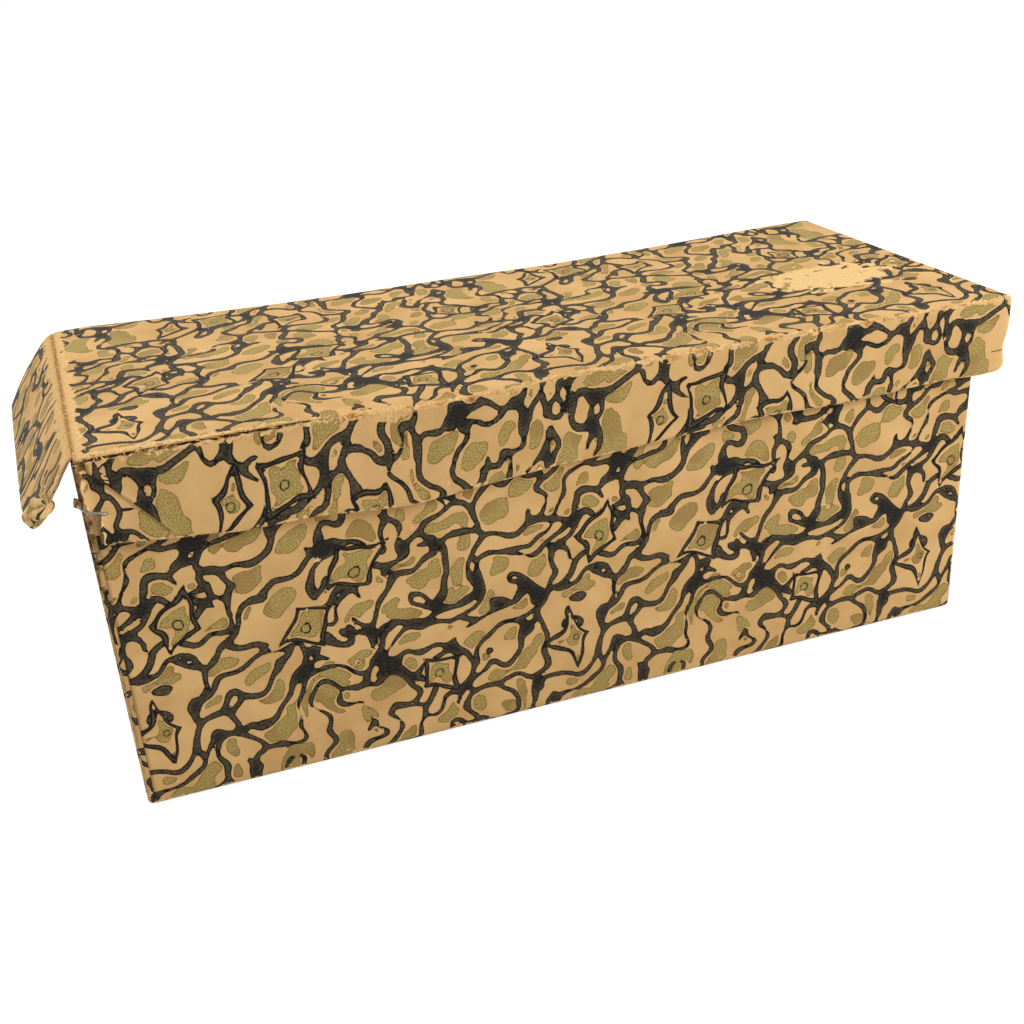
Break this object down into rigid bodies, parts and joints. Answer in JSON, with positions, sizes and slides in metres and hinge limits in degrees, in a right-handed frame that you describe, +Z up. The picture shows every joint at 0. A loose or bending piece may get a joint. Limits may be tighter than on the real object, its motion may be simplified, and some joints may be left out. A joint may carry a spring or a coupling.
{
  "type": "lidded presentation box",
  "caption": "Long paper-covered cardboard box with a lift-off telescoping lid, one end skirt torn loose and hanging from its crease.",
  "frame": {"origin": "centre of the base's underside, where the box rests", "axes": "+X along the length, away from the torn end; +Y from the front to the back; +Z up, the way the lid lifts"},
  "size_m": [0.2303, 0.097, 0.0842],
  "materials": {
    "covering_paper": "matt printed kraft paper, worn along the edges",
    "plain_paper": "matt unprinted kraft paper",
    "lining_paper": "matt, yellowed",
    "board": "raw brown board, fibrous cut edges",
    "staple_wire": "dull tinned wire"
  },
  "bodies": {
    "base": {"base_bottom_board": "board", "base_front_board": "board", "base_back_board": "board", "base_left_board": "board", "base_right_board": "board", "base_wrap_paper": "covering_paper", "base_bottom_paper": "plain_paper", "base_wall_lining": "lining_paper", "base_floor_lining": "lining_paper", "base_staple_front_left_low": "staple_wire", "base_staple_front_left_high": "staple_wire", "base_staple_back_left_low": "staple_wire", "base_staple_back_left_high": "staple_wire", "base_staple_front_right_low": "staple_wire", "base_staple_front_right_high": "staple_wire", "base_staple_back_right_low": "staple_wire", "base_staple_back_right_high": "staple_wire"},
    "lid": {"lid_top_board": "board", "lid_front_skirt_board": "board", "lid_back_skirt_board": "board", "lid_right_skirt_board": "board", "lid_wrap_paper": "covering_paper", "lid_corner_tab_front_left": "covering_paper", "lid_corner_tab_back_left": "covering_paper", "lid_lining": "lining_paper", "lid_staple_front_left_pulled": "staple_wire", "lid_staple_back_left_pulled": "staple_wire", "lid_staple_front_right": "staple_wire", "lid_staple_back_right": "staple_wire", "lid_board_shred_front_left": "board", "lid_board_shred_back_left": "board"},
    "torn_skirt": {"lid_left_skirt_board": "board", "lid_left_skirt_wrap": "covering_paper", "lid_left_skirt_curl": "covering_paper"}
  },
  "joints": [
    {"name": "lid_lift", "type": "slide", "parent": "base", "child": "lid", "axis": [0, 0, 1], "range_m": [0, 0.1]},
    {"name": "torn_skirt_swing", "type": "hinge", "parent": "lid", "child": "torn_skirt", "pos_m": [-0.1044, 0, 0.0842], "axis": [0, 1, 0], "range_deg": [0, 53]}
  ]
}
